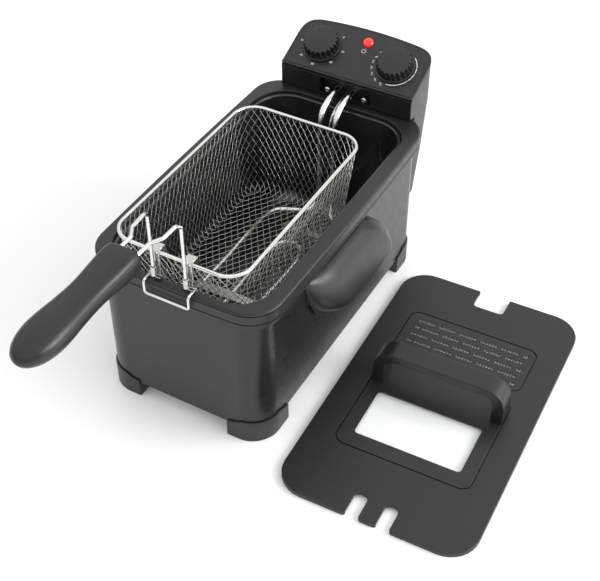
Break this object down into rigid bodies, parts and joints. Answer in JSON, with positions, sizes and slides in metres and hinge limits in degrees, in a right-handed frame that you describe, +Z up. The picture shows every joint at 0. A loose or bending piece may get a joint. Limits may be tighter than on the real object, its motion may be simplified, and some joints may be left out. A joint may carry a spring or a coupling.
{
  "type": "deep fryer",
  "caption": "Household deep fryer with a charcoal housing, lift-out tank, lift-off control head with heating element, wire basket hooked up to drain, and its windowed lid beside it.",
  "frame": {"origin": "on the table, under the middle of the bounding box of fryer, basket handle and lid", "axes": "+Z up, +Y from the basket grip towards the control head, +X towards the lid lying beside the fryer"},
  "size_m": [0.4729, 0.6496, 0.2905],
  "materials": {
    "charcoal": "charcoal coat, semi-gloss with fine texture",
    "dark_plastic": "moulded charcoal plastic, satin",
    "black_plastic": "moulded black plastic, satin",
    "black_enamel": "black enamel, glossy",
    "chrome": "bright plated steel wire",
    "steel": "plain bright steel sheet",
    "brass": "turned brass",
    "glass": "clear toughened glass",
    "red_lens": "clear red plastic",
    "silicone": "grey silicone",
    "filter_fleece": "open foam pad",
    "ceramic": "off-white ceramic"
  },
  "bodies": {
    "housing": {"housing_shell": "charcoal", "base_plate": "steel", "collar": "dark_plastic", "foot_front_left": "dark_plastic", "foot_front_right": "dark_plastic", "foot_rear_left": "dark_plastic", "foot_rear_right": "dark_plastic", "side_handle_left": "dark_plastic", "side_handle_right": "dark_plastic", "guide_rail_left": "black_plastic", "guide_rail_right": "black_plastic"},
    "tank": {"oil_tank": "black_enamel"},
    "control_head": {"head_shell": "black_plastic", "control_panel": "dark_plastic", "element_mount_plate": "black_plastic", "mount_screw_left": "chrome", "mount_screw_right": "chrome", "heating_element": "chrome", "element_brace": "steel", "bulb_clip": "steel", "thermostat_bulb": "steel", "capillary_tube": "steel", "timer_unit": "steel", "thermostat_unit": "steel", "lamp_lens": "red_lens", "lamp_holder": "ceramic", "terminal_block": "ceramic", "thermal_cutout": "ceramic", "safety_switch": "black_plastic", "power_inlet": "black_plastic", "inlet_pin_left": "brass", "inlet_pin_right": "brass"},
    "timer_dial": {"timer_knob": "black_plastic"},
    "thermostat_dial": {"thermostat_knob": "black_plastic"},
    "reset": {"reset_button": "red_lens"},
    "switch_pin": {"switch_plunger": "ceramic"},
    "basket": {"basket_rim": "chrome", "basket_mesh": "chrome", "basket_bracket_left": "chrome", "basket_bracket_right": "chrome", "drain_hook": "chrome"},
    "basket_handle": {"handle_wire_left": "chrome", "handle_wire_right": "chrome", "basket_grip": "dark_plastic"},
    "lid": {"lid_plate": "charcoal", "window_frame": "dark_plastic", "window_seal": "silicone", "window_glass": "glass", "filter_tray": "black_plastic", "filter_pad": "filter_fleece", "lid_handle": "dark_plastic", "lid_handle_screw_left": "steel", "lid_handle_screw_right": "steel"},
    "vent": {"vent_cover": "dark_plastic"}
  },
  "joints": [
    {"name": "tank_lift", "type": "slide", "parent": "housing", "child": "tank", "axis": [0, 0, 1], "range_m": [0, 0.2]},
    {"name": "head_lift", "type": "slide", "parent": "tank", "child": "control_head", "axis": [0, 0, 1], "range_m": [0, 0.2]},
    {"name": "timer_turn", "type": "hinge", "parent": "control_head", "child": "timer_dial", "pos_m": [-0.15881, 0.28824, 0.23442], "axis": [0, -0.4004, 0.9163], "range_deg": [-270, 0]},
    {"name": "thermostat_turn", "type": "hinge", "parent": "control_head", "child": "thermostat_dial", "pos_m": [-0.06281, 0.28824, 0.23442], "axis": [0, -0.4004, 0.9163], "range_deg": [-270, 0]},
    {"name": "reset_press", "type": "slide", "parent": "control_head", "child": "reset", "axis": [0, -1, 0], "range_m": [0, 0.0022], "stiffness_N_per_m": 400},
    {"name": "switch_pin_press", "type": "slide", "parent": "control_head", "child": "switch_pin", "axis": [0, 1, 0], "range_m": [0, 0.0023], "stiffness_N_per_m": 300},
    {"name": "basket_lift", "type": "slide", "parent": "control_head", "child": "basket", "axis": [0, 0, 1], "range_m": [0, 0.16]},
    {"name": "handle_release", "type": "slide", "parent": "basket", "child": "basket_handle", "axis": [0, 0, 1], "range_m": [0, 0.05]},
    {"name": "lid_lift", "type": "slide", "parent": "housing", "child": "lid", "axis": [0, 0, 1], "range_m": [0, 0.08]},
    {"name": "vent_cover_lift", "type": "slide", "parent": "lid", "child": "vent", "axis": [0, 0, 1], "range_m": [0, 0.02]}
  ]
}
